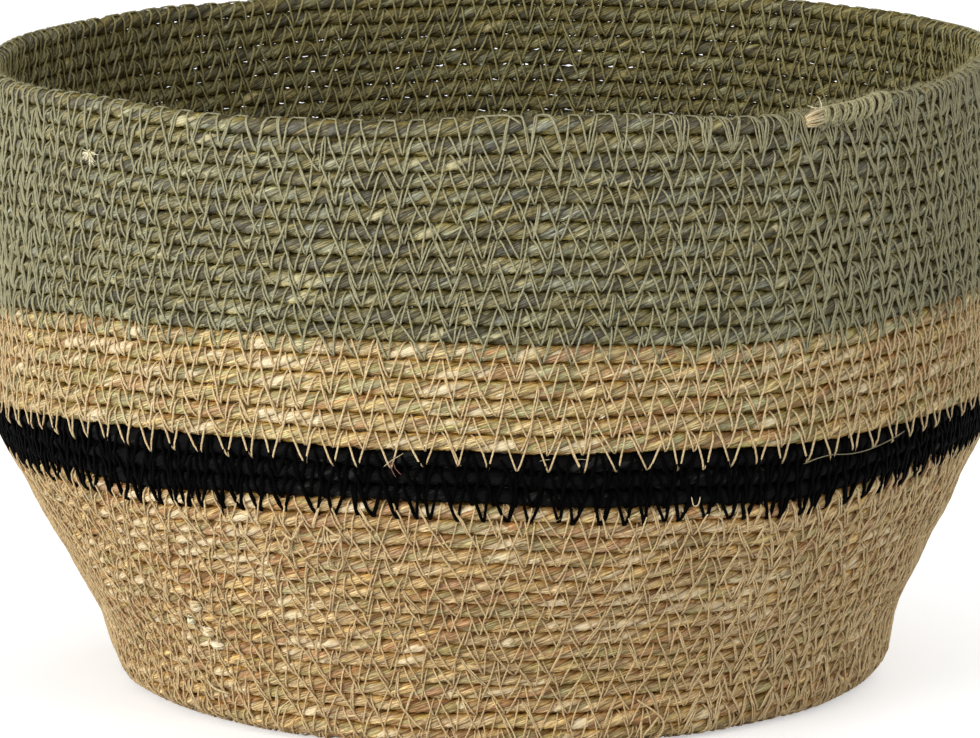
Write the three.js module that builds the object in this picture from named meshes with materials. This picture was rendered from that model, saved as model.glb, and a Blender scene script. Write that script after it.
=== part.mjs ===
// Round storage basket, coiled and sewn from twisted seagrass rope. Millimetres, +Z up.
// One long spiral runs out over the base, turns up at the foot and climbs the wall to the rim.
// It changes colour on the way, so each colour is a length of rope of its own, end to end.
import * as THREE from 'three';

// Rope
const ROPE_WIDTH = 4.7; // along the wall, from one course towards the next
const ROPE_DEPTH = 4.7; // through the wall
const COURSE_GAP = 0.48; // open slit that the zigzag sewing leaves between courses
const END_GAP = 0.3; // where one length of rope butts against the next

// Shape of the wall, along the middle of the rope, from the centre of the base to the rim
const BASE_FLAT_RADIUS = 114;
const CORNER_RADIUS = 8; // where the base turns up into the foot
const FOOT_LEAN = 15; // degrees out from upright, just above the corner
const FOOT_LENGTH = 20;
const LOWER_WALL_LEAN = 27.5;
const LOWER_WALL_LENGTH = 47;
const SHOULDER_LENGTH = 23; // the bend under and behind the black band
const UPPER_WALL_LEAN = 3.5;
const UPPER_WALL_BOW_RADIUS = 940; // the upper wall bows out a little and closes in at the rim

// Courses of each colour above the base, counted up the wall
const LOWER_WALL_COURSES = 17;
const BLACK_BAND_COURSES = 3;
const STRAW_BAND_COURSES = 6;
const GREEN_BAND_COURSES = 13;

// Where the rope starts, changes colour and ends, as angles round the basket in degrees
const ROPE_START_RADIUS = 2.8;
const COLOUR_CHANGE_ANGLE = 126;
const RIM_END_ANGLE = -50;
const RIM_TAPER_LENGTH = 40; // the rope's last stretch is thinned so that the rim runs level
const RIM_END_WIDTH = 3.4;

// Facets
const STEPS_PER_TURN = 20;
const INNER_STEPS_PER_TURN = 10; // every second step is enough near the middle of the base
const INNER_RADIUS = 24;
const LEAST_GAP_ALLOWED = 0.4;

const COURSE_PITCH = ROPE_WIDTH + COURSE_GAP;
const DEGREE = Math.PI / 180;
const FULL_TURN = 2 * Math.PI;

// The wall's curve is a chain of lines and arcs: each has a length and how far it turns upwards
const corner = (90 - FOOT_LEAN) * DEGREE;
const wallCurve = [
  { length: BASE_FLAT_RADIUS, turn: 0 },
  { length: CORNER_RADIUS * corner, turn: corner },
  { length: FOOT_LENGTH, turn: (FOOT_LEAN - LOWER_WALL_LEAN) * DEGREE },
  { length: LOWER_WALL_LENGTH, turn: 0 },
  { length: SHOULDER_LENGTH, turn: (LOWER_WALL_LEAN - UPPER_WALL_LEAN) * DEGREE },
];

// Point at a distance along the wall's curve, with the slope there (0 is flat, 90 degrees upright)
function wallPoint(distance) {
  let radius = 0;
  let height = ROPE_DEPTH / 2;
  let slope = 0;
  let left = distance;
  const advance = (length, curvature) => {
    const end = slope + length * curvature;
    if (Math.abs(curvature) < 1e-9) {
      radius += length * Math.cos(slope);
      height += length * Math.sin(slope);
    } else {
      radius += (Math.sin(end) - Math.sin(slope)) / curvature;
      height += (Math.cos(slope) - Math.cos(end)) / curvature;
    }
    slope = end;
  };
  for (const piece of wallCurve) {
    const length = Math.min(left, piece.length);
    advance(length, piece.turn / piece.length);
    left -= length;
  }
  advance(left, 1 / UPPER_WALL_BOW_RADIUS);
  return { radius, height, slope };
}

// Turns are counted from the centre; the rope winds clockwise seen from above
const turnPart = (angle) => 1 - THREE.MathUtils.euclideanModulo(angle, 360) / 360;
const changeTurn = turnPart(COLOUR_CHANGE_ANGLE);
const baseTurns = Math.round(BASE_FLAT_RADIUS / COURSE_PITCH) + changeTurn;
const blackStart = baseTurns + LOWER_WALL_COURSES;
const strawStart = blackStart + BLACK_BAND_COURSES;
const greenStart = strawStart + STRAW_BAND_COURSES;
const rimEndPart = THREE.MathUtils.euclideanModulo(turnPart(RIM_END_ANGLE) - changeTurn, 1);
const rimEndTurn = greenStart + GREEN_BAND_COURSES + rimEndPart;
const startTurn = ROPE_START_RADIUS / COURSE_PITCH;
const rimRadius = wallPoint(rimEndTurn * COURSE_PITCH).radius;
const taperTurn = rimEndTurn - RIM_TAPER_LENGTH / (FULL_TURN * rimRadius);

// The rope's cross-section is a hexagon with one flat towards the outside and one to the inside
const ropeSection = [
  [1, 0],
  [0.5, 1],
  [-0.5, 1],
  [-1, 0],
  [-0.5, -1],
  [0.5, -1],
];

// Share of its full thickness that the rope keeps at a turn, thinned towards its end at the rim
function thicknessAt(turn) {
  const share = THREE.MathUtils.clamp((rimEndTurn - turn) / (rimEndTurn - taperTurn), 0, 1);
  return (RIM_END_WIDTH + (ROPE_WIDTH - RIM_END_WIDTH) * share) / ROPE_WIDTH;
}

// Corners of the rope's cross-section at a turn, in the upright plane through the basket's axis.
// No corner goes under height 0, because the base is pressed flat on what it stands on.
function ropeRing(turn) {
  const { radius, height, slope } = wallPoint(turn * COURSE_PITCH);
  const angle = -turn * FULL_TURN;
  const thickness = thicknessAt(turn);
  const sink = (1 - thickness) * ROPE_WIDTH / 2; // keeps the thinned end on the course below
  return ropeSection.map(([across, out]) => {
    const along = across * thickness * ROPE_WIDTH / 2 - sink;
    const outward = out * thickness * ROPE_DEPTH / 2;
    const r = radius + along * Math.cos(slope) + outward * Math.sin(slope);
    const z = height + along * Math.sin(slope) - outward * Math.cos(slope);
    return new THREE.Vector3(r * Math.cos(angle), r * Math.sin(angle), Math.max(0, z));
  });
}

// Turns at which a length of rope has a ring: its two ends, the steps between them and the place at
// the rim where the rope starts to thin. Steps are counted from where the colours change, so every
// course has its rings at the same angles as the next one and the gap between them stays even.
function ringTurns(from, to) {
  const turns = [from];
  const innerTurn = INNER_RADIUS / COURSE_PITCH;
  const shortest = 0.2 / STEPS_PER_TURN;
  const firstStep = Math.ceil((from - changeTurn) * STEPS_PER_TURN);
  const lastStep = Math.floor((to - changeTurn) * STEPS_PER_TURN);
  const innerEvery = STEPS_PER_TURN / INNER_STEPS_PER_TURN;
  for (let step = firstStep; step <= lastStep; step += 1) {
    const turn = changeTurn + step / STEPS_PER_TURN;
    const skipped = turn < innerTurn && step % innerEvery !== 0;
    if (!skipped && turn - from > shortest && to - turn > shortest) {
      turns.push(turn);
    }
  }
  turns.push(to);
  if (taperTurn > from && taperTurn < to) {
    const stepped = turns.filter((turn) => Math.abs(turn - taperTurn) > shortest);
    return [...stepped, taperTurn].sort((a, b) => a - b);
  }
  return turns;
}

// Closed tube through the rings, with a flat cut across each end
function ropeGeometry(rings) {
  const sides = ropeSection.length;
  const positions = [];
  for (const ring of rings) {
    for (const point of ring) {
      positions.push(point.x, point.y, point.z);
    }
  }
  const faces = [];
  for (let i = 0; i < rings.length - 1; i += 1) {
    for (let j = 0; j < sides; j += 1) {
      const a = i * sides + j;
      const b = i * sides + (j + 1) % sides;
      faces.push(a, b + sides, b);
      faces.push(a, a + sides, b + sides);
    }
  }
  const last = (rings.length - 1) * sides;
  for (let j = 1; j < sides - 1; j += 1) {
    faces.push(0, j, j + 1);
    faces.push(last, last + j + 1, last + j);
  }
  const geometry = new THREE.BufferGeometry();
  geometry.setAttribute('position', new THREE.Float32BufferAttribute(positions, 3));
  geometry.setIndex(faces);
  geometry.computeVertexNormals();
  return geometry;
}

const ropeLengths = [
  { name: 'base_rope', from: startTurn, to: baseTurns, color: 0xb89b6b },
  { name: 'lower_wall_rope', from: baseTurns, to: blackStart, color: 0xb89b6b },
  { name: 'black_band_rope', from: blackStart, to: strawStart, color: 0x14161a },
  { name: 'straw_band_rope', from: strawStart, to: greenStart, color: 0xc2a574 },
  { name: 'green_band_rope', from: greenStart, to: rimEndTurn, color: 0x6f7058 },
];

const basket = new THREE.Group();
basket.name = 'storage_basket';
const allRings = [];
for (const { name, from, to, color } of ropeLengths) {
  const startRadius = wallPoint(from * COURSE_PITCH).radius;
  const endGapTurns = from === startTurn ? 0 : END_GAP / (FULL_TURN * startRadius);
  const turns = ringTurns(from + endGapTurns, to);
  const rings = turns.map(ropeRing);
  turns.forEach((turn, i) => allRings.push({ turn, ring: rings[i] }));
  const material = new THREE.MeshStandardMaterial({ color, roughness: 0.85, metalness: 0 });
  const rope = new THREE.Mesh(ropeGeometry(rings), material);
  rope.name = name;
  basket.add(rope);
}

// Least gap between the rope and itself, measured between ring corners half a turn or more apart
function leastGap() {
  let least = Infinity;
  for (let i = 0; i < allRings.length; i += 1) {
    for (let j = i + 1; j < allRings.length; j += 1) {
      const apart = allRings[j].turn - allRings[i].turn;
      if (apart > 0.5 && apart < 1.5) {
        for (const a of allRings[i].ring) {
          for (const b of allRings[j].ring) {
            least = Math.min(least, a.distanceToSquared(b));
          }
        }
      }
    }
  }
  return Math.sqrt(least);
}

const size = new THREE.Box3().setFromObject(basket).getSize(new THREE.Vector3());
console.log(`Basket ${size.x.toFixed(1)} x ${size.y.toFixed(1)} x ${size.z.toFixed(1)} mm`);
console.log(`Least gap from course to course ${leastGap().toFixed(2)} mm, over ${LEAST_GAP_ALLOWED} mm`);

export default basket;
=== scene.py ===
# %% [markdown]
# # A storage basket sewn from seagrass rope
#
# The real basket is one long coil of twisted seagrass rope. A sewing machine joins each course to
# the one below it with a zigzag of twine, outside and inside. This notebook builds the looks of that
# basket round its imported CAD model: the twisted rope, the twine, the rim's cut end and the finishes.

import math

import bpy
import numpy as np
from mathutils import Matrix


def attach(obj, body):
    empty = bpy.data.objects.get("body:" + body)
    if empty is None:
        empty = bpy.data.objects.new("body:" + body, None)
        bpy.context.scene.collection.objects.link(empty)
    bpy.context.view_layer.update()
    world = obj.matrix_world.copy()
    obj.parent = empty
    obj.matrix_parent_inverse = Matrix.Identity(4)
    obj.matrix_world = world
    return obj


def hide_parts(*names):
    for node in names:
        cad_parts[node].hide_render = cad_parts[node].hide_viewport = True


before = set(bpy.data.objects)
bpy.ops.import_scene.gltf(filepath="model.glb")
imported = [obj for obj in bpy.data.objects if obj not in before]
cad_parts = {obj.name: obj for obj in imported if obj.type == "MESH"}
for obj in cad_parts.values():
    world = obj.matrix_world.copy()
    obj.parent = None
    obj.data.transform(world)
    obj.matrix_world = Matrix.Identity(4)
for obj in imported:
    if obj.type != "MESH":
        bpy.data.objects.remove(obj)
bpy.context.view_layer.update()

# %% [markdown]
# ## The curve of the wall
#
# Every course lies on one curve, which starts at the centre of the base, runs out flat, turns up at
# the foot and climbs to the rim. It is a chain of straight stretches and arcs, so a point at any
# distance along it has a formula. The same curve carries the rope and the twine, and this keeps
# every stitch on its rope. All sizes are in metres.

# %% The driving sizes
MM = 0.001
PITCH = 5.18 * MM  # from one course to the next
ROPE_MIDDLE_HEIGHT = 2.35 * MM
BASE_FLAT_RADIUS = 114 * MM
CORNER_RADIUS = 8 * MM
FOOT_LEAN = math.radians(15)
FOOT_LENGTH = 20 * MM
LOWER_WALL_LEAN = math.radians(27.5)
LOWER_WALL_LENGTH = 47 * MM
SHOULDER_LENGTH = 23 * MM
UPPER_WALL_LEAN = math.radians(3.5)
UPPER_WALL_BOW_RADIUS = 940 * MM

CORNER_TURN = math.pi / 2 - FOOT_LEAN
STRETCHES = [
    (BASE_FLAT_RADIUS, 0.0),
    (CORNER_RADIUS * CORNER_TURN, CORNER_TURN),
    (FOOT_LENGTH, FOOT_LEAN - LOWER_WALL_LEAN),
    (LOWER_WALL_LENGTH, 0.0),
    (SHOULDER_LENGTH, LOWER_WALL_LEAN - UPPER_WALL_LEAN),
    (1.0, 1.0 / UPPER_WALL_BOW_RADIUS),
]


# %% A point on the curve, at any distance along it
def wall_curve(distance):
    """Radius, height and slope at each distance along the wall's curve.

    On a straight stretch the point moves on along its slope. On an arc of curvature k, which starts
    at slope a and has reached slope b, it has moved by (sin b - sin a)/k outwards and by
    (cos a - cos b)/k upwards.
    """
    distance = np.asarray(distance, float)
    radius = np.zeros_like(distance)
    height = np.full_like(distance, ROPE_MIDDLE_HEIGHT)
    slope = np.zeros_like(distance)
    start = 0.0
    for length, turn in STRETCHES:
        run = np.clip(distance - start, 0, length)
        curvature = turn / length
        end = slope + run * curvature
        if curvature:
            radius += (np.sin(end) - np.sin(slope)) / curvature
            height += (np.cos(slope) - np.cos(end)) / curvature
        else:
            radius += run * np.cos(slope)
            height += run * np.sin(slope)
        slope = end
        start += length
    return radius, height, slope


# %% [markdown]
# ## Courses and colours
#
# A turn of the coil is counted from the centre of the base. The rope winds clockwise seen from
# above, so its angle falls as the turns grow. The colours change at one place at the back, and the
# rope ends at the right front of the rim.

# %% Where each colour of rope starts, in turns
COLOUR_CHANGE_ANGLE = 126
RIM_END_ANGLE = -52.4
LOWER_WALL_COURSES = 17
BLACK_BAND_COURSES = 3
STRAW_BAND_COURSES = 6
GREEN_BAND_COURSES = 13

change_part = (-COLOUR_CHANGE_ANGLE / 360) % 1
ROPE_START = 0.005
LOWER_START = round(BASE_FLAT_RADIUS / PITCH) + change_part
BLACK_START = LOWER_START + LOWER_WALL_COURSES
STRAW_START = BLACK_START + BLACK_BAND_COURSES
GREEN_START = STRAW_START + STRAW_BAND_COURSES
RIM_END = GREEN_START + GREEN_BAND_COURSES + (-RIM_END_ANGLE / 360 - change_part) % 1
print("turns of rope:", round(RIM_END, 2))

# %% [markdown]
# ## Length along the rope
#
# Stitches and twist repeat along the rope, not along the angle. One step of the spiral is as long as
# its radius times its angle, and a running sum of the steps gives the length of rope by each turn.
# Reading the same table backwards gives the turn at a length.

# %% From turns to metres of rope, and back
TABLE_STEPS = 100
table_turns = np.arange(0, (RIM_END + 1) * TABLE_STEPS) / TABLE_STEPS
table_steps = 2 * np.pi * wall_curve(table_turns * PITCH)[0] / TABLE_STEPS
table_lengths = np.cumsum(table_steps)


def length_at(turn):
    """Metres of rope from the centre of the base to a turn."""
    return np.interp(turn, table_turns, table_lengths)


def turn_at(length):
    """The turn that is reached after a length of rope."""
    return np.interp(length, table_lengths, table_turns)


print("rope in all, m:", round(float(length_at(RIM_END) - length_at(ROPE_START)), 1))

# %% [markdown]
# ## A hand-made basket isn't even
#
# The courses of the real basket rise and dip where the wall has been pressed, and each one wanders.
# All this is a smooth function over the whole wall, so rope and twine move together. One table
# holds the dips, at angles round the basket and at distances up its wall, and another its bulges.
# The wandering is a sum of waves with whole numbers of periods round the basket, which closes
# without a seam.

# %% Dips and waves over the wall
random = np.random.default_rng(11)
# Angles from the front to the right, in degrees, and distances up the wall's curve
SHIFT_ANGLES = [-180, -120, -90, -72, -48, -36, -28, -13, 0, 14, 28, 34, 38, 46, 54, 62, 72, 90, 120]
SHIFT_DISTANCES = np.array([118, 206, 221, 252, 318]) * MM
# How far the courses are moved up the wall there, in mm: a row for each distance, foot to rim
SHIFTS = [
    [0, 0, 0, 0, 0, 0, 0, 0, 0, 0, 0, 0, 0, 0, 0, 0, 0, 0, 0],
    [0, -1.5, -3, -3, -3.6, -1.5, 0, 1.8, 0.4, -1.4, -2.8, -4, -4.4, -1.4, 0, 2, 2, 1, 0],
    [0, -2, -6, -6.2, -0.9, 0.6, 1, 0.3, 0.3, -0.4, -0.6, -1.2, -1.8, -1.6, -1, -1.4, -1.8, -1, 0],
    [0, -2, -4.5, -5, 0.6, 1, 2.4, 2.2, 2.4, 1.1, -1.2, -1, 0.8, 0.2, 1.2, 3, 3, 1.5, 0.3],
    [0, -1, -1.8, -2.1, -0.5, -1.1, -1.5, -1.1, 1.3, 1.1, -0.5, -1, -1, -3.2, -3.6, -2.4, -0.6, 0, 0],
]
# How far the wall is moved outwards, in mm, from the middle of the base to over the black band
BULGE_ANGLES = [-150, -85, -50, -25, 25, 50, 85, 150]
BULGE_DISTANCES = np.array([20, 112, 130, 150, 170, 190, 206, 221]) * MM
BULGES = [
    [0, 0, 0, 0, 0, 0, 0, 0],
    [0, -5, 0, 4.5, 4, 4.5, 4.5, 0],
    [0, -3.8, -1.8, 0.5, 1, 1.5, 1.9, 0],
    [0, -5, -2, 0, 0, 0, 0.3, 0],
    [0, -3.4, -1, 0, 0, -0.3, -1.2, 0],
    [0, -4.2, -1, 0, 0, -0.6, -2.5, 0],
    [0, -0.6, 0, 0, 0, 0, -0.9, 0],
    [0, 0, 0, 0, 0, 0, 0, 0],
]
SHIFT_SOFTNESS = 3  # degrees, over which the corners of a table are rounded off
BULGE_SOFTNESS = 9

WAVES = 14
wave_periods = random.integers(3, 23, WAVES)
wave_rates = random.uniform(-1, 1, WAVES) * 2 * np.pi / (24 * MM)
wave_phases = random.uniform(0, 2 * np.pi, (2, WAVES))
WAVE_UP = 0.08 * MM
WAVE_OUT = 0.13 * MM
WAVE_OUT_FADE = 10 * MM  # from the flat of the base, which has none


# %% The wall's unevenness at a point
def from_table(rows, distances, angles, softness, distance, angle):
    """A table's value at a distance and an angle, in metres."""
    azimuth = np.degrees(angle) + 90
    value = np.zeros_like(distance)
    for row_here, numbers in zip(np.eye(len(rows)), rows):
        share = np.interp(distance, distances, row_here)
        for aside in (-softness, softness):
            value = value + share * np.interp(azimuth + aside, angles, numbers, period=360) * MM / 2
    return value


def unevenness(distance, angle):
    """How far a point of the wall is moved up the wall's curve and outwards."""
    up = from_table(SHIFTS, SHIFT_DISTANCES, SHIFT_ANGLES, SHIFT_SOFTNESS, distance, angle)
    out = np.zeros_like(distance)
    wall_share = np.clip((distance - BASE_FLAT_RADIUS) / WAVE_OUT_FADE, 0, 1)
    for periods, rate, up_phase, out_phase in zip(wave_periods, wave_rates, *wave_phases):
        up = up + WAVE_UP * np.sin(periods * angle + rate * distance + up_phase)
        out = out + WAVE_OUT * wall_share * np.sin(periods * angle + rate * distance + out_phase)
    return up, out


# %% [markdown]
# The base is pressed flat on what it stands on. There the outer half of every section is squeezed,
# and no point goes under the floor.

# %% From the wall to space
UNDERSIDE_SQUEEZE = 0.76
SQUEEZE_END = math.radians(50)  # slope of the wall, where the squeeze has faded out
FLOOR_SOFTNESS = 0.25 * MM


def on_wall(distance, angle, out):
    """The point in space at a distance up the wall's curve, an angle round it and a height over it."""
    distance, angle, out = np.broadcast_arrays(distance, angle, out)
    up_shift, out_shift = unevenness(distance, angle)
    radius, height, slope = wall_curve(distance + up_shift)
    flat = np.clip(1 - slope / SQUEEZE_END, 0, 1)
    out = np.where(out > 0, out * (1 - (1 - UNDERSIDE_SQUEEZE) * flat), out) + out_shift
    bulge = from_table(BULGES, BULGE_DISTANCES, BULGE_ANGLES, BULGE_SOFTNESS, distance, angle)
    r = radius + bulge + out * np.sin(slope)
    z = height - out * np.cos(slope)
    z = (z + np.sqrt(z * z + FLOOR_SOFTNESS ** 2)) / 2
    return np.stack([r * np.cos(angle), r * np.sin(angle), z], axis=-1)


def wall_directions(distance, angle):
    """The directions up the wall and out of it, as unit vectors."""
    distance, angle = np.broadcast_arrays(distance, angle)
    slope = wall_curve(distance)[2][..., None]
    outwards = np.stack([np.cos(angle), np.sin(angle), 0 * angle], axis=-1)
    upright = np.array([0, 0, 1])
    return (np.cos(slope) * outwards + np.sin(slope) * upright,
            np.sin(slope) * outwards - np.cos(slope) * upright)


# %% [markdown]
# ## Meshes from arrays
#
# Every piece here is a tube: rings of points along a path. A tube's faces follow from the number of
# rings and of points in a ring, so one function makes them for rope and twine alike.

# %% Faces and UV corners of a tube
def tube_faces(rings, sides):
    """Four-sided faces between the rings, and the two ends, split into faces of four corners."""
    ring = np.arange(rings - 1)[:, None] * sides
    side = np.arange(sides)[None, :]
    after = (side + 1) % sides
    walls = np.stack([ring + side, ring + sides + side, ring + sides + after, ring + after], axis=-1)
    low = np.arange(1, sides - 1, 2)
    first = np.stack([0 * low, low, low + 1, np.minimum(low + 2, sides - 1)], axis=-1)
    last = (rings - 1) * sides + first[:, ::-1]
    if sides == 3:
        first, last = first[:, :3], last[:, 1:]
    return walls.reshape(-1, 4), np.concatenate([first, last])


def tube_uv(along, round_tube):
    """UV corners for the walls of a tube, from values on its rings and its sides."""
    u = np.broadcast_to(along, np.broadcast_shapes(along.shape, round_tube.shape))
    v = np.broadcast_to(round_tube, u.shape)
    grid = np.stack([u, v], axis=-1)
    corners = np.stack([grid[:-1, :-1], grid[1:, :-1], grid[1:, 1:], grid[:-1, 1:]], axis=2)
    return corners.reshape(-1, 4, 2)


def add_piece(name, points, faces, uv, material, **masks):
    """A mesh object from points and lists of faces; the last list, the ends, has no UV of its own.

    The masks are values on the points, which the materials read by name.
    """
    points = np.maximum(points, [-1, -1, 0])  # nothing goes under the floor
    mesh = bpy.data.meshes.new(name)
    mesh.vertices.add(len(points))
    mesh.vertices.foreach_set("co", points.astype(np.float32).ravel())
    corners = np.concatenate([group.ravel() for group in faces])
    counts = np.concatenate([np.full(len(group), group.shape[1]) for group in faces])
    mesh.loops.add(len(corners))
    mesh.loops.foreach_set("vertex_index", corners.astype(np.int32))
    mesh.polygons.add(len(counts))
    mesh.polygons.foreach_set("loop_start", (np.cumsum(counts) - counts).astype(np.int32))
    mesh.polygons.foreach_set("use_smooth", np.ones(len(counts), bool))
    layer = mesh.uv_layers.new(name="strand")
    all_uv = np.zeros((len(corners), 2), np.float32)
    all_uv[:uv.size // 2] = uv.reshape(-1, 2)
    layer.data.foreach_set("uv", all_uv.ravel())
    for mask, values in masks.items():
        attribute = mesh.attributes.new(mask, "FLOAT", "POINT")
        attribute.data.foreach_set("value", values.astype(np.float32).ravel())
    mesh.materials.append(material)
    mesh.update()
    piece = bpy.data.objects.new(name, mesh)
    bpy.context.scene.collection.objects.link(piece)
    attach(piece, "root")
    print(name, "triangles:", sum(len(group) * (group.shape[1] - 2) for group in faces))
    return piece


# %% [markdown]
# ## Finishes as node groups
#
# Seagrass blades are long, narrow and each of its own colour. A Voronoi pattern that is stretched
# along the fibres gives a cell to each blade, and a noise stretched much further gives its fibres.
# Both are read from the rope's own UV map, which holds metres along and across the fibres.

# %% Helpers for node trees
class Nodes:
    """Adds shader nodes to one tree. Every value may be a number, a colour or a node's output."""

    def __init__(self, tree):
        self.tree = tree

    def add(self, kind, inputs=None, **settings):
        """A node, with its properties set and its inputs linked or set."""
        node = self.tree.nodes.new("ShaderNode" + kind)
        for name, value in settings.items():
            setattr(node, name, value)
        for socket, value in (inputs or {}).items():
            if isinstance(value, bpy.types.NodeSocket):
                self.link(value, node.inputs[socket])
            else:
                node.inputs[socket].default_value = value
        return node

    def link(self, output, socket):
        """A link from an output to an input."""
        self.tree.links.new(output, socket)

    def math(self, operation, first, second=0.0, third=0.0):
        """A Math node's result."""
        return self.add("Math", {0: first, 1: second, 2: third}, operation=operation).outputs[0]

    def times(self, first, second):
        """A product."""
        return self.math("MULTIPLY", first, second)

    def most(self, first, second):
        """The larger of two values."""
        return self.math("MAXIMUM", first, second)

    def fit(self, value, low, high, new_low=0.0, new_high=1.0):
        """A value moved from one range to another, and held inside it."""
        inputs = {0: value, 1: low, 2: high, 3: new_low, 4: new_high}
        return self.add("MapRange", inputs).outputs[0]

    def mix(self, share, first, second, blend="MIX"):
        """A mix of two colours."""
        inputs = {"Factor": share, 6: first, 7: second}
        return self.add("Mix", inputs, data_type="RGBA", blend_type=blend).outputs[2]

    def lit(self, shade, light):
        """A colour, made lighter or darker."""
        grey = self.add("CombineColor", {0: light, 1: light, 2: light}).outputs[0]
        return self.mix(1.0, shade, grey, "MULTIPLY")

    def mask(self, name):
        """A value on the mesh's points."""
        return self.add("Attribute", attribute_name=name).outputs["Fac"]


def new_group(name, colours, values):
    """A node group that gives a colour and a height, from colours and values."""
    tree = bpy.data.node_groups.new(name, "ShaderNodeTree")
    for in_out, names, kind in (("INPUT", colours, "Color"), ("INPUT", values, "Float"),
                                ("OUTPUT", ["Colour"], "Color"), ("OUTPUT", ["Height"], "Float")):
        for socket in names:
            tree.interface.new_socket(socket, in_out=in_out, socket_type="NodeSocket" + kind)
    given = tree.nodes.new("NodeGroupInput").outputs
    result = tree.nodes.new("NodeGroupOutput").inputs
    return Nodes(tree), given, result


# %% The blades of seagrass in a rope
PATCH = (19 * MM, 4.4 * MM)  # length and width
PATCH_WEIGHT = 0.75  # of a patch, against a blade, in the choice of a blade's colour
BLADE = (13 * MM, 0.95 * MM)
BEND = (7 * MM, 2.6 * MM)
FIBRE = (9 * MM, 0.42 * MM)
CREASE = (15 * MM, 0.85 * MM)
SLOW_LIGHT = (60 * MM, 6 * MM)
SLOW_WARMTH = (46 * MM, 4.4 * MM)
HUSK_CROWD = 26 * MM
# Painted warm shade on the inside of the wall, which gets less light
INSIDE_PAINTED_SHADE = (0.92, 0.9, 0.76, 1)
WARM_TINT = (1.05, 1.0, 0.84, 1)
COOL_TINT = (0.97, 1.0, 1.14, 1)


def stretched(nodes, place, size):
    """Coordinates in which a cell or a noise is as long and as wide as asked."""
    return nodes.add("Mapping", {0: place, 3: (1 / size[0], 1 / size[1], 1)}).outputs[0]


def noise(nodes, place, size, detail=2.0, output=0):
    """Noise over a surface."""
    inputs = {"Vector": stretched(nodes, place, size), "Scale": 1.0, "Detail": detail, "Roughness": 0.6}
    return nodes.add("TexNoise", inputs, noise_dimensions="2D").outputs[output]


def cells(nodes, place, size, bend):
    """Bent Voronoi cells over a surface: three random numbers of each, and the way to its edge."""
    bent = nodes.add("VectorMath", {0: bend, 1: stretched(nodes, place, size)}, operation="ADD").outputs[0]
    inputs = {"Vector": bent, "Scale": 1.0, "Randomness": 0.95}
    cell, edge = [nodes.add("TexVoronoi", inputs, voronoi_dimensions="2D", feature=feature).outputs
                  for feature in ("F1", "DISTANCE_TO_EDGE")]
    return nodes.add("SeparateColor", {0: cell["Color"]}).outputs, edge["Distance"]


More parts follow.
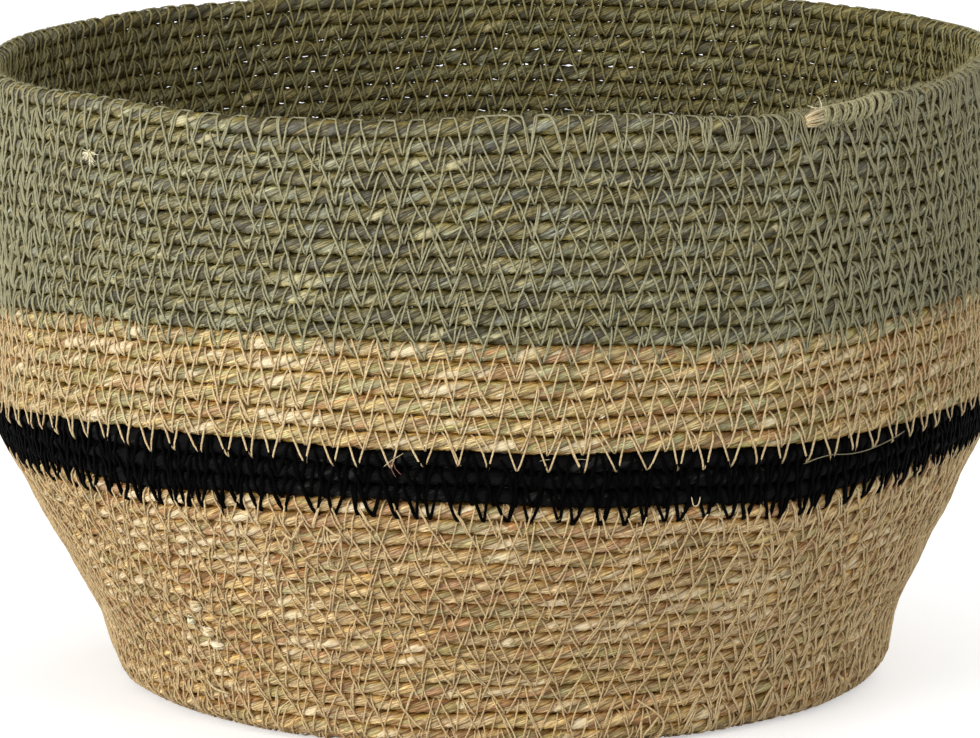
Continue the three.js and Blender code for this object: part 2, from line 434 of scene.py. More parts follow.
# %% Colour and height of the blades
def make_blade_group():
    """Node group: colour and height of twisted blades, from six colours, two of them painted shade, and
    three shares.
    """
    n, given, result = new_group(
        "seagrass blades", ("Main", "Second", "Third", "Husk", "Painted shade colour", "Valley painted shade"),
        ("Second share", "Third share", "Husk share"))
    place = n.add("UVMap", uv_map="strand").outputs[0]
    bend = noise(n, place, BEND, 1.0, 1)
    patch, patch_edge = cells(n, place, PATCH, bend)
    blade, blade_edge = cells(n, place, BLADE, bend)

    # Narrow blades lie side by side in a patch. Each takes the first, second or third colour, by its
    # patch's chance and a little by its own
    shade = given["Main"]
    for number, name in ((1, "Second"), (2, "Third")):
        own = n.times(blade[number], 1 - PATCH_WEIGHT)
        chance = n.math("MULTIPLY_ADD", patch[number - 1], PATCH_WEIGHT, own)
        shade = n.mix(n.math("LESS_THAN", chance, given[name + " share"]), shade, given[name])

    # Each blade is a little lighter or darker, with fibres in it
    fibres = noise(n, place, FIBRE)
    light = n.times(n.fit(blade[0], 0, 1, 0.82, 1.16), n.fit(fibres, 0.34, 0.66, 0.8, 1.18))
    light = n.times(light, n.fit(patch[2], 0, 1, 0.82, 1.14))
    light = n.times(light, n.fit(noise(n, place, SLOW_LIGHT), 0.3, 0.7, 0.8, 1.18))
    shade = n.lit(shade, light)
    tint = n.mix(n.fit(noise(n, place, SLOW_WARMTH), 0.35, 0.65), WARM_TINT, COOL_TINT)
    shade = n.mix(1.0, shade, tint, "MULTIPLY")

    # Pale husks lie over the rest, many in some places of the outside and few in others
    inside = n.mask("inside")
    spot = n.add("TexCoord").outputs["Object"]
    crowd = n.add("TexNoise", {"Vector": spot, "Scale": 1 / HUSK_CROWD, "Detail": 1.0}).outputs[0]
    crowd = n.fit(n.math("MULTIPLY_ADD", inside, -0.2, crowd), 0.5, 0.68, 0.2, 5.0)
    husk = n.math("LESS_THAN", patch[2], n.times(given["Husk share"], crowd))
    husk = n.times(husk, n.fit(patch_edge, 0.02, 0.1))
    shade = n.mix(n.times(husk, n.fit(fibres, 0.34, 0.5, 0.55, 1.0)), shade, given["Husk"])

    # Painted shade: dark lines between blades and patches, in fine creases, and in the grooves between the
    # strands
    gap = n.times(n.fit(blade_edge, 0.0, 0.18, 0.6, 0.0), n.math("SUBTRACT", 1.0, n.times(husk, 0.7)))
    gap = n.most(gap, n.fit(patch_edge, 0.0, 0.06, 0.6, 0.0))
    fold = n.math("ABSOLUTE", n.math("SUBTRACT", noise(n, place, CREASE, 1.0), 0.5))
    crease = n.times(n.fit(fold, 0.015, 0.08, 0.8, 0.0), n.math("SUBTRACT", 1.0, n.times(husk, 0.6)))
    groove = n.mask("groove")
    depth = n.most(n.fit(groove, 0.0, 0.9, 0.0, 0.45), n.fit(groove, 0.72, 0.95, 0.0, 0.9))
    gap = n.most(n.most(gap, crease), depth)
    shade = n.mix(gap, shade, given["Painted shade colour"])

    # Painted shade between two courses, where the light has gone from straw to straw and comes out dark and
    # warm, with a dark line at the joint
    valley = n.mask("valley")
    shade = n.mix(n.fit(valley, 0.1, 0.9), shade, given["Valley painted shade"], "MULTIPLY")
    shade = n.mix(n.fit(valley, 0.7, 1.0, 0.0, 0.45), shade, given["Painted shade colour"])
    # The inside of the wall is multiplied by its painted warm shade
    n.link(n.mix(inside, shade, INSIDE_PAINTED_SHADE, "MULTIPLY"), result["Colour"])

    relief = n.math("MULTIPLY_ADD", n.fit(blade_edge, 0.0, 0.3), 0.5, n.times(fibres, 0.8))
    relief = n.math("MULTIPLY_ADD", n.fit(patch_edge, 0.0, 0.2), 0.6, relief)
    n.link(relief, result["Height"])
    return n.tree


blade_group = make_blade_group()
print("node groups:", len(bpy.data.node_groups))

# %% The twist of a twine
TWINE_LAY = 1.6 * MM
TWINE_PATCH = (9 * MM, 2.5)  # round the twine, one is the whole way


def make_twine_group():
    """Node group: colour and height of a thin two-ply twine, from two colours."""
    n, given, result = new_group("twine lay", ("Main", "Second"), ())
    place = n.add("UVMap", uv_map="strand").outputs[0]
    along = n.add("SeparateXYZ", {0: place}).outputs
    turn = n.math("MULTIPLY_ADD", along[0], 1 / TWINE_LAY, along[1])
    lay = n.math("ABSOLUTE", n.math("SINE", n.times(turn, math.pi)))
    inputs = {"Vector": stretched(n, place, TWINE_PATCH), "Scale": 1.0, "Detail": 3.0}
    patches = n.add("TexNoise", inputs, noise_dimensions="2D").outputs[0]
    shade = n.mix(n.fit(patches, 0.35, 0.65), given["Main"], given["Second"])
    # The colour is darker in the groove between the two plies: painted shade
    n.link(n.lit(shade, n.fit(lay, 0.0, 0.8, 0.72, 1.04)), result["Colour"])
    n.link(lay, result["Height"])
    return n.tree


twine_group = make_twine_group()
print("node groups:", len(bpy.data.node_groups))

# %% [markdown]
# ## The materials
#
# The natural rope is straw-coloured with red-brown and grey-green blades and cream husks. The dyed
# ropes have the same blades in other colours, because the dye takes unevenly; the grey husks of the
# black rope are a painted sheen. Every rope also has painted shade in its grooves and valleys.

# %% Materials for rope and twine
def hex_colour(text):
    """A colour such as b89b6b as linear red, green, blue and one."""
    values = [int(text[i:i + 2], 16) / 255 for i in (0, 2, 4)]
    return (*[v / 12.92 if v <= 0.04045 else ((v + 0.055) / 1.055) ** 2.4 for v in values], 1.0)


def group_material(name, group_tree, colours, shares, bump, depth, roughness, gloss):
    """A material for a slot, with its colour and its relief from a node group."""
    material = bpy.data.materials.new(name)
    material.use_nodes = True
    n = Nodes(material.node_tree)
    shader = n.tree.nodes["Principled BSDF"]
    group = n.tree.nodes.new("ShaderNodeGroup")
    group.node_tree = group_tree
    values = [*map(hex_colour, colours.split()), *shares]
    for socket, value in zip(group.inputs, values):
        socket.default_value = value
    relief = n.add("Bump", {"Strength": bump, "Distance": depth, "Height": group.outputs["Height"]})
    n.link(group.outputs["Colour"], shader.inputs["Base Color"])
    n.link(relief.outputs[0], shader.inputs["Normal"])
    shader.inputs["Roughness"].default_value = roughness
    shader.inputs["Specular IOR Level"].default_value = gloss
    return material


def rope_material(name, colours, shares, roughness=0.6, gloss=0.28, bump=0.8):
    """A rope's material: main, second, third, husk, painted groove shade and valley shade colours, and
    three shares.
    """
    return group_material(name, blade_group, colours, shares, bump, 0.35 * MM, roughness, gloss)


def twine_material(name, colours, roughness=0.75, gloss=0.2):
    """A twine's material, from two colours."""
    return group_material(name, twine_group, colours, (), 0.4, 0.1 * MM, roughness, gloss)


# %% All the materials of the basket
lower_rope = rope_material("natural seagrass",
                           "ebcf98 c9a073 c9bd86 f2e0b8 5e3a10 dcb64c", (0.32, 0.29, 0.11))
straw_rope = rope_material("straw seagrass",
                           "e3cd96 c9a376 c2be8a f2e2bc 563a10 e4c258", (0.3, 0.36, 0.11))
green_rope = rope_material("green dyed seagrass",
                           "a49b72 76725f aeae91 d2c89c 2a220a d6c658", (0.39, 0.32, 0.035), gloss=0.24)
# The black rope's grey husk colour is a painted sheen on its fibres, and its grey valley colour painted
# shade
black_rope = rope_material("black dyed seagrass",
                           "030303 060606 020202 2a2a28 010101 808080", (0.4, 0.35, 0.07), 0.65, 0.09, 1.0)
cut_rope = rope_material("cut seagrass",
                         "f0e1b8 ead6ac e2d7ae fdf0d0 b09464 ffffff", (0.3, 0.3, 0.2), 0.6, 0.3, 0.5)
tan_twine = twine_material("tan twine", "ceb587 b89e76")
pale_tan_twine = twine_material("pale tan twine", "e0ca9c ceb68c")
straw_twine = twine_material("straw twine", "d2bb90 c0a67c")
green_twine = twine_material("green twine", "9d9879 8e8969")
pale_green_twine = twine_material("pale green twine", "b4ad86 a19a74")
# Inside the wall the green twine is given painted warm shade, as the inside of the rope is
shaded_inner_twine = twine_material("inner green twine with painted shade", "9c9468 888054", 0.8)
black_twine = twine_material("black twine", "010101 030303", 0.8, 0.03)
hair = twine_material("dark hair", "2a2620 1c1a16", 0.6)
pink_fibre = twine_material("pink fibre", "8a6058 6a4640", 0.7)
pale_fibre = twine_material("pale fibre", "cdbb95 b8a47e", 0.7)
grey_fibre = twine_material("grey fibre", "8d8468 7a7058", 0.7)
pith = twine_material("pith", "f2ecce dcd4ac", 0.7)

# %% [markdown]
# ## The rope
#
# Seagrass rope has three strands laid round each other, so its section has three lobes with grooves
# between them, and the section turns as it goes along. The mesh's columns turn with it. They keep to
# the grooves, so four columns a strand are enough for a clean groove and a round lobe. Each length
# of rope was laid with a twist of its own.

# %% The section of the rope, turned along its path
ROPE_RADIUS = 2.87 * MM
RING_STEP = 1.95 * MM
TIGHT_RINGS = 24  # at the middle of the base, closer together
TIGHT_TURNS = 1.5
STRANDS = 3
STRAND_SECTION = np.array([0.83, 0.95, 1.0, 0.95])
LUMPS = 0.025  # unevenness of the lobes, of the whole rope's thickness and of its twist
THICKNESS_CHANGE = 0.02
TWIST_CHANGE = 0.15
FIBRE_SHARE = 0.75  # the fibres slope a little less than the strands
STRAND_APART = 0.37  # between the patterns of two strands, in the UV map
VALLEY_EDGE = 54  # degrees round the rope from the joint between two courses
VALLEY_FADE = 30
RIM_TAPER_LENGTH = 40 * MM
RIM_END_SHARE = 0.85
# The end slides off the course below, down the wall and outwards
END_SLIDE_LENGTH = 26 * MM
END_DROP = 3.7 * MM
END_OUT = 2.0 * MM


# %% Smooth unevenness, and the end at the rim
def wandering(count, spacing, size):
    """Random numbers that change smoothly from each to the next: a few drawn and the rest between."""
    knots = random.normal(0, size, int(count / spacing) + 3)
    place = np.arange(count) / spacing
    low = place.astype(int)
    part = place - low
    smooth = part * part * (3 - 2 * part)
    return knots[low] * (1 - smooth) + knots[low + 1] * smooth


def end_shares(turn):
    """The share of its thickness that the rope keeps at a turn, and of its end's drop that it has made."""
    left = length_at(RIM_END) - length_at(turn)
    kept = RIM_END_SHARE + (1 - RIM_END_SHARE) * np.clip(left / RIM_TAPER_LENGTH, 0, 1)
    return kept, np.clip(1 - left / END_SLIDE_LENGTH, 0, 1) ** 0.7


# %% Rope from one turn to another
def make_rope(name, node, start_turn, end_turn, lay, material):
    """Rope from one turn to another, as rings whose lobed section turns once in each lay."""
    start, end = length_at(start_turn), length_at(end_turn)
    rings = int((end - start) / RING_STEP) + 1
    length = np.linspace(start, end, rings)
    if start_turn < TIGHT_TURNS:
        tight = length_at(start_turn + np.linspace(0, TIGHT_TURNS, TIGHT_RINGS))
        length = np.concatenate([tight, np.linspace(tight[-1], end, rings - TIGHT_RINGS + 1)[1:]])
    length = length[:, None]
    turn = turn_at(length)
    sides = STRANDS * len(STRAND_SECTION)
    column = np.arange(sides)[None, :]
    section = np.tile(STRAND_SECTION, STRANDS)[None, :]
    lumps = 1 + wandering(rings * sides, 6, LUMPS).reshape(sides, rings).T * (section > 0.9)
    kept, slide = end_shares(turn)
    thickness = kept * (1 + wandering(rings, 20, THICKNESS_CHANGE)[:, None])
    reach = ROPE_RADIUS * section * lumps * thickness
    twist = 2 * np.pi * (length / lay + column / sides) + wandering(rings, 12, TWIST_CHANGE)[:, None]
    across = reach * np.cos(twist) - ((1 - kept) * ROPE_RADIUS + slide * END_DROP)
    out = reach * np.sin(twist) + slide * END_OUT
    points = on_wall(turn * PITCH + across, -2 * np.pi * turn, out)

    # UV: metres along the fibres and across them, with each strand's pattern set apart
    slope = FIBRE_SHARE * math.atan(2 * math.pi * ROPE_RADIUS / lay)
    corner = np.arange(sides + 1)[None, :]
    around = 2 * np.pi * ROPE_RADIUS * (corner / sides + length / lay)
    u = length * math.cos(slope) + around * math.sin(slope)
    v = around * math.cos(slope) - length * math.sin(slope)
    strand = np.arange(sides) // len(STRAND_SECTION)
    uv = tube_uv(u, v).reshape(rings - 1, sides, 4, 2) + STRAND_APART * strand[None, :, None, None]

    # How deep in a groove a point is, how near to the joint with the next course, and how far inside: masks
    # that place the painted shade
    groove = np.broadcast_to(np.clip((1 - section) / (1 - STRAND_SECTION[0]), 0, 1), reach.shape)
    from_joint = np.degrees(np.arcsin(np.abs(np.sin(twist))))
    valley = np.clip((VALLEY_EDGE - from_joint) / VALLEY_FADE, 0, 1)
    inside = np.clip(-2.5 * np.sin(twist), 0, 1)
    piece = add_piece(name, points.reshape(-1, 3), tube_faces(rings, sides), uv, material,
                      groove=groove, valley=valley, inside=inside)
    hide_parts(node)


# %% The five lengths of rope
GAP = 0.0003  # between two lengths of rope, in turns
# Where each length starts and ends, and its lay in mm
ropes = [
    ("base_coil", "base_rope", ROPE_START, LOWER_START, 30, lower_rope),
    ("lower_wall_coil", "lower_wall_rope", LOWER_START, BLACK_START, 30, lower_rope),
    ("black_band_coil", "black_band_rope", BLACK_START, STRAW_START, 28, black_rope),
    ("straw_band_coil", "straw_band_rope", STRAW_START, GREEN_START, 34, straw_rope),
    ("green_band_coil", "green_band_rope", GREEN_START, RIM_END, 22, green_rope),
]
for name, node, start_turn, end_turn, lay, material in ropes:
    make_rope(name, node, start_turn + GAP, end_turn, lay * MM, material)

# %% [markdown]
# ## Twine
#
# Every piece of twine is a tube along a path. The path also needs a way off the rope at each of its
# points, so that the tube's sides stay in line along it.

# %% A tube of twine along a path
TWINE_HEIGHT = 2.95 * MM  # middle of the twine over the middle of the rope


def unit(vectors):
    """The same directions with length one."""
    return vectors / (np.linalg.norm(vectors, axis=-1, keepdims=True) + 1e-12)


def add_twine(name, centres, off, radius, sides, material):
    """A tube of twine through centres; off points away from the rope at each of them."""
    ahead = unit(np.gradient(centres, axis=0))
    side = unit(np.cross(ahead, off))
    off = np.cross(side, ahead)
    around = 2 * np.pi * (np.arange(sides) + 0.5) / sides
    ring = np.cos(around)[None, :, None] * side[:, None] + np.sin(around)[None, :, None] * off[:, None]
    points = centres[:, None] + np.reshape(radius, (-1, 1, 1)) * ring
    run = np.concatenate([[0], np.cumsum(np.linalg.norm(np.diff(centres, axis=0), axis=1))])[:, None]
    uv = tube_uv(run, np.arange(sides + 1)[None, :] / sides)
    add_piece(name, points.reshape(-1, 3), tube_faces(len(centres), sides), uv, material)


# %% [markdown]
# ## The zigzag seams
#
# The machine's needle swings across the joint between two courses. Its twine runs from the valley
# above the new course, over that course and over the one below it, to the next valley, and back. So
# each seam covers two courses, and every course is covered twice. At the rim there is no valley
# above, and the twine runs along the top of the rope for a few millimetres between two arms. Each
# seam is one long tube over many courses, because the real twine isn't cut either.

# %% The path of one arm of the zigzag
# Places along an arm: up the wall from the new course's middle, in courses, and out, in twine heights
OUTER_ARM = np.array([(0.546, 0.0), (0.47, 0.5), (0.27, 0.87), (0, 1), (-0.5, 0.97), (-1, 1),
                      (-1.3, 0.84), (-1.48, 0.6)])
PLAIN_ARM = np.array([(0.53, 0.2), (0.3, 0.83), (0, 1), (-0.5, 0.96), (-1, 1), (-1.48, 0.5)])
ARM_MIDDLE = -0.48
# An arm keeps a share of its run away from its tips, and at the rim much more from the upper ones
LOW_BACK = 0.015
HIGH_BACK = 0.05
RIM_BACK = (0.2, 0.42)
BOW = 0.07  # how much an arm bends sideways, as a share of its run
REACH_CHANGE = 0.06


def arm_normals(arm):
    """Which way is off the rope at each place of an arm: away from the nearest rope's middle."""
    middle = np.where(arm[:, 0] > 0, 0, np.where(arm[:, 0] < -1, -1, arm[:, 0]))
    away = np.stack([(arm[:, 0] - middle) * PITCH, arm[:, 1] * TWINE_HEIGHT], axis=-1)
    return unit(away)


# %% The tips of a zigzag
def tip_lengths(start_turn, end_turn, period, skew, stand_in_line, jitter):
    """Where along the rope each tip of a zigzag lies: even steps, skewed and jittered.

    On the upright part of the wall a whole number of stitches goes into each turn, so the zigzags of
    neighbouring seams stand in line.
    """
    start, end = length_at(start_turn), length_at(end_turn)
    count = int(2 * (end - start) / period)
    step = np.arange(count + 1)
    place = step / 2 + np.where(step % 2, skew - 0.5, 0)
    place = place + random.normal(0, jitter, count + 1) + wandering(count + 1, 6, 1.4 * jitter)
    if stand_in_line:
        per_turn = round((end - start) / (end_turn - start_turn) / period)
        tips = length_at(start_turn + place / per_turn)
    else:
        tips = start + period * place
    return np.clip(np.maximum.accumulate(tips), start, end)


# %% A seam between its tips
def make_seam(name, tips, radius, lift, face, arm, sides, material):
    """Twine through the tips of a zigzag, on the outer (1) or the inner (-1) face of the wall.

    It returns the points of every arm, for the twine that lies double.
    """
    count = len(tips) - 1
    steps = np.hypot(*np.diff(arm * [PITCH, TWINE_HEIGHT], axis=0).T)
    share = np.concatenate([[0], np.cumsum(steps)]) / steps.sum()
    down = (np.arange(count) % 2 == 0)[:, None]
    columns = (arm[:, 0], arm[:, 1], share, *arm_normals(arm).T)
    across, out, share, normal_up, normal_out = [np.where(down, one, one[::-1]) for one in columns]
    share = np.where(down, share, 1 - share)

    at_rim = (turn_at(tips[:-1]) > RIM_END - 1)[:, None]
    high_back = np.where(at_rim, random.uniform(*RIM_BACK, (count, 1)), HIGH_BACK)
    share = np.where(down, high_back, LOW_BACK) + (1 - high_back - LOW_BACK) * share
    bow = random.normal(0, BOW, (count, 1)) * np.sin(np.pi * share)
    length = tips[:-1, None] + np.diff(tips)[:, None] * (share + bow)
    reach = 1 + random.normal(0, REACH_CHANGE, (count + 1,))
    reach = reach[:-1, None] * (1 - share) + reach[1:, None] * share
    across = np.where(at_rim & (across > 0), across, ARM_MIDDLE + (across - ARM_MIDDLE) * reach)

    # Over the rope's thinned end the twine lies lower, with the rope
    turn = turn_at(length)
    kept, slide = end_shares(turn)
    sunk = kept * across - ((1 - kept) * ROPE_RADIUS + slide * END_DROP) / PITCH
    distance = PITCH * (turn + np.where(across > -0.5, sunk, across))
    angle = -2 * np.pi * turn
    height = face * out * (ROPE_RADIUS + lift) * kept + slide * END_OUT
    centres = on_wall(distance, angle, height)
    up_way, out_way = wall_directions(distance, angle)
    off = normal_up[..., None] * up_way + face * normal_out[..., None] * out_way
    add_twine(name, centres.reshape(-1, 3), off.reshape(-1, 3), radius, sides, material)
    return centres, angle


# %% Many short pieces in one mesh
def add_blades(name, paths, widths, material, thickness=0.4):
    """Short blades or threads in one mesh: the points along each, and its half-widths there."""
    blades, rings = paths.shape[:2]
    ahead = unit(np.gradient(paths, axis=1))
    side = unit(np.cross(ahead, random.normal(size=(blades, 1, 3))))
    thick = thickness * np.cross(side, ahead)
    ring = np.stack([side, thick, -side, -thick], axis=2)
    points = paths[:, :, None] + np.broadcast_to(widths, (blades, rings))[..., None, None] * ring
    walls, ends = tube_faces(rings, 4)
    first = 4 * rings * np.arange(blades)[:, None, None]
    run = np.linspace(0, 5 * MM, rings)[:, None]
    apart = STRAND_APART * np.arange(blades)[:, None, None, None]
    uv = tube_uv(run, np.arange(5)[None, :] * 0.5 * MM)[None] + apart
    faces = [(first + walls).reshape(-1, 4), (first + ends).reshape(-1, 4)]
    add_piece(name, points.reshape(-1, 3), faces, uv, material)


def add_doubles(name, centres, angle, copies, radius, material):
    """More pieces of twine beside some arms of a seam, which run along with them or cross them."""
    chosen = np.repeat(np.arange(len(centres)), copies)
    along = np.stack([np.sin(angle), -np.cos(angle), np.zeros_like(angle)], axis=-1)[chosen]
    part = np.linspace(0, 1, centres.shape[1])[None, :, None]
    spread = (0.2 + 0.2 * copies[chosen])[:, None, None]
    start, end, middle = random.normal(0, 1, (3, len(along), 1, 1)) * spread * MM
    aside = start * (1 - part) + end * part + 1.5 * middle * np.sin(np.pi * part)
    add_blades(name, centres[chosen] + aside * along, radius, material, 1.0)


# %% All the seams, by band
SEAM_START = 2.2  # the first turns at the middle of the base are too tight for the machine
half_lower = (LOWER_START + BLACK_START) / 2
half_green = (GREEN_START + RIM_END) / 2
# A zigzag's period in mm, the share of its rising arm, the unevenness of its tips, the twine's radius
# and its middle's height over the rope, both in mm, and the outer and the inner twine
base_stitch = (8.0, 0.55, 0.09, 0.3, 0.1, tan_twine, tan_twine)
lower_stitch = (9.0, 0.4, 0.12, 0.31, 0.0, tan_twine, tan_twine)
black_stitch = (6.7, 0.46, 0.16, 0.62, -0.25, black_twine, black_twine)
straw_stitch = (9.1, 0.42, 0.08, 0.33, 0.04, straw_twine, straw_twine)
green_stitch = (8.9, 0.44, 0.09, 0.35, 0.06, green_twine, shaded_inner_twine)
# Beside some arms lies more twine: the share of them at the front and at the sides, where the sides
# begin, in degrees from the front, and its material
lower_more = (0.07, 1.1, -180, 30, pale_tan_twine)
black_more = (0.07, 0.07, -180, 180, black_twine)
straw_more = (0.07, 0.07, -180, 180, straw_twine)
green_more = (0.12, 1.3, -57, 36, green_twine)
seams = [
    ("base_seam", SEAM_START, LOWER_START, base_stitch, None),
    ("foot_seam", LOWER_START, half_lower, lower_stitch, lower_more),
    ("lower_seam", half_lower, BLACK_START, lower_stitch, lower_more),
    ("black_seam", BLACK_START, STRAW_START, black_stitch, black_more),
    ("straw_seam", STRAW_START, GREEN_START, straw_stitch, straw_more),
    ("green_seam", GREEN_START, half_green, green_stitch, green_more),
    ("upper_seam", half_green, RIM_END, green_stitch, green_more),
]
BESIDE_RADIUS = 0.74  # as a share of the seam's
INSIDE_RADIUS = 1.2
MORE_AT_RIM = 0.35
RIM_CROWD = 60 / 360  # before the rope's end, where each arm has three more
END_BELOW = (0.98, 0.03)  # and below it: turns before the end, and half of how far that goes
for name, start_turn, end_turn, stitch, more in seams:
    period, skew, jitter, radius, lift, outer, inner = stitch
    in_line = start_turn >= BLACK_START
    outer_arm = OUTER_ARM if more else PLAIN_ARM
    tips = tip_lengths(start_turn, end_turn, period * MM, skew, in_line, jitter)
    arms, angle = make_seam(name + "_outside", tips, radius * MM, lift * MM, 1, outer_arm, 4, outer)
    if more:
        at_front, at_sides, left, right, beside = more
        here = -angle[:, 0] / (2 * np.pi)
        azimuth = (270 - 360 * here) % 360 - 180
        share = np.where((azimuth < left) | (azimuth > right), at_sides, at_front)
        share = np.where(here > RIM_END - 1, share + MORE_AT_RIM, share)
        at_end = (here > RIM_END - RIM_CROWD) | (abs(here - RIM_END + END_BELOW[0]) < END_BELOW[1])
        copies = np.where(at_end, 3, (share + random.random(len(here))).astype(int))
        add_doubles(name + "_doubled", arms, angle, copies, BESIDE_RADIUS * radius * MM, beside)
    make_seam(name + "_inside", tips, INSIDE_RADIUS * radius * MM, 0.1 * MM, -1, PLAIN_ARM, 3, inner)

# %% [markdown]
# ## The rope's end at the rim
#
# The last three centimetres of the rope are wound with bands of twine, which lean towards the end.
# Beyond them the cut rope fans out into pale blades.

# %% The wound bands
BANDS = 8
WINDS = 3  # in each band
BAND_STEP = 3.9 * MM
WIND_STEP = 0.8 * MM
BAND_START = 1.2 * MM
LEAN = 3.6 * MM
WIND_HEIGHT = 0.4 * MM  # over the rope
WIND_POINTS = 16
wound = np.arange(BANDS * WINDS * WIND_POINTS + 1) / WIND_POINTS
band = np.minimum(wound.astype(int), BANDS * WINDS - 1) // WINDS
before_end = BAND_START + band * BAND_STEP + (wound - band * WINDS) * WIND_STEP
before_end = before_end + wandering(len(wound), 9, 0.22 * MM)
round_rope = 2 * np.pi * wound + np.pi
leaning = LEAN * (1 - np.cos(round_rope)) / 2
wind_turn = turn_at(length_at(RIM_END) - before_end + leaning)
kept, slide = end_shares(wind_turn)
wind_reach = (ROPE_RADIUS + WIND_HEIGHT) * kept * (1 + wandering(len(wound), 5, 0.03))
wind_across = wind_reach * np.cos(round_rope) - (1 - kept) * ROPE_RADIUS - slide * END_DROP
wind_out = wind_reach * np.sin(round_rope) + slide * END_OUT
wind_place = (wind_turn * PITCH + wind_across, -2 * np.pi * wind_turn)
up_way, out_way = wall_directions(*wind_place)
wind_off = np.cos(round_rope)[:, None] * up_way + np.sin(round_rope)[:, None] * out_way
add_twine("rim_winding", on_wall(*wind_place, wind_out), wind_off, 0.42 * MM, 5, pale_green_twine)


# %% Paths of blades
def blades_at(turn, roots, tips, bend, steps):
    """Paths on the wall from roots to tips: each is along the rope, up the wall and out, in mm."""
    roots, tips = np.array(roots, float), np.array(tips, float)
    part = np.linspace(0, 1, steps)[None, :, None]
    places = roots[:, None] * (1 - part) + tips[:, None] * part
    places = places + np.array(bend) * part * (1 - part) * 4
    place_turn = turn_at(length_at(turn) + places[..., 0] * MM)
    distance = turn * PITCH + places[..., 1] * MM
    return on_wall(distance, -2 * np.pi * place_turn, places[..., 2] * MM)


def add_tuft(name, turn, roots, tips, bend, thick, shape, material):
    """Blades of random widths between two values in mm; the shape gives shares of them along a blade."""
    paths = blades_at(turn, roots, tips, bend, len(shape))
    add_blades(name, paths, random.uniform(*thick, (len(roots), 1)) * MM * np.array(shape), material)


# %% The cut end and its wisps
CUT_BLADES = 120
CUT_RADIUS = 2.1  # mm, and so are the places of roots and tips
spot = 2 * np.pi * random.random(CUT_BLADES)
spread = CUT_RADIUS * np.sqrt(random.random(CUT_BLADES))
root_up = spread * np.cos(spot)
root_out = spread * np.sin(spot)
long_way = random.uniform(5.0, 6.4, CUT_BLADES)
cut_roots = np.stack([np.full(CUT_BLADES, -2.0), root_up - 3.6, root_out + 2.0], axis=1)
cut_tips = np.stack([long_way, 0.75 * root_up - 5.2, 0.75 * root_out + 2.9], axis=1)
swell = np.stack([0 * spread, 0.35 * root_up, 0.35 * root_out], axis=1)
cut_shape = (1, 1, 1, 1, 0.9, 0.6)
add_tuft("cut_end", RIM_END, cut_roots, cut_tips, swell[:, None], (0.26, 0.46), cut_shape, cut_rope)
wisp_roots = [(-1.0, -2.2, 1.8), (-0.5, -2.0, 2.2), (1.0, -2.6, 2.4)]
wisp_tips = [(0.2, 2.4, 1.4), (3.2, -0.9, 2.2), (4.2, -0.4, 2.0)]
wisp_paths = blades_at(RIM_END, wisp_roots, wisp_tips, (-0.9, 0.3, 0), 6)
add_blades("cut_end_wisps", wisp_paths, np.array([0.3, 0.28, 0.24, 0.2, 0.18, 0.12]) * MM, pith)

# %% Fuzz on the rim, most of it at the cut end
FUZZ = 2400
FUZZ_HALF_WIDTH = 0.035 * MM
END_FUZZ = (0.4, 100)  # its share and how far it goes, in mm
RIM_ROUND = 990
BESIDE_END = 0.12  # the share on the course that the end lies against
before = np.where(random.random(FUZZ) < END_FUZZ[0], END_FUZZ[1], RIM_ROUND) * random.random(FUZZ)
beyond = random.random(FUZZ) < BESIDE_END
fuzz_along = np.where(beyond, 9 * random.random(FUZZ) - 1, -before)
fuzz_turn = turn_at(length_at(RIM_END) + np.minimum(fuzz_along, 0) * MM)
fuzz_low = np.where(beyond, -1, 0) - end_shares(fuzz_turn)[1] * ~beyond * END_DROP / PITCH
fuzz_spot = random.uniform(-1.2, 1.1, FUZZ)
fuzz_reach = 3.1 + np.outer([0, 0.5, 1], random.uniform(0.3, 1.3, FUZZ))
fuzz_bend = fuzz_spot + np.outer([0, 0.06, 0.2], random.normal(0, 1.2, FUZZ))
fuzz_lean = np.outer([0, 0.4, 1], random.normal(0, 0.7, FUZZ)) * MM
fuzz_run = turn_at(length_at(fuzz_turn) + np.maximum(fuzz_along, 0) * MM + fuzz_lean)
fuzz_distance = (fuzz_turn + fuzz_low) * PITCH + fuzz_reach * np.cos(fuzz_bend) * MM
fuzz_paths = on_wall(fuzz_distance, -2 * np.pi * fuzz_run, fuzz_reach * np.sin(fuzz_bend) * MM)
fuzz_widths = FUZZ_HALF_WIDTH * np.array([1, 0.9, 0.5])
add_blades("rim_fuzz", np.moveaxis(fuzz_paths, 0, 1), fuzz_widths, pale_green_twine, 1.0)

# %% [markdown]
# ## Loose threads, knots and knobs of pith
#
# A few threads have come loose, some stitches end in knots, and in places the white pith of a blade
# shows as a knob. They are placed by their angle from the front and their distance up the wall.


# %% Threads through places on the wall
def curve_through(points, steps=5):
    """A smooth curve through points; each stretch bends with the points on either side of it."""
    points = np.array(points, float)
    points = np.concatenate([[2 * points[0] - points[1]], points, [2 * points[-1] - points[-2]]])
    t = (np.arange(steps) / steps)[:, None]
    pieces = []
    for a, b, c, d in zip(points, points[1:], points[2:], points[3:]):
        pieces.append(b + t / 2 * (c - a + t * (2 * a - 5 * b + 4 * c - d + t * (3 * (b - c) + d - a))))
    return np.concatenate([*pieces, points[-2:-1]])


def add_stray(name, radius, material, places):
    """A loose thread through places: degrees from the front, mm up the wall, mm off the rope's middle."""
    azimuth, distance, out = curve_through(places).T
    place = (distance * MM, np.radians(azimuth - 90))
    taper = np.ones(len(azimuth))
    taper[[0, -1]] = 0.4
    add_twine(name, on_wall(*place, out * MM), wall_directions(*place)[1], radius * MM * taper, 4, material)


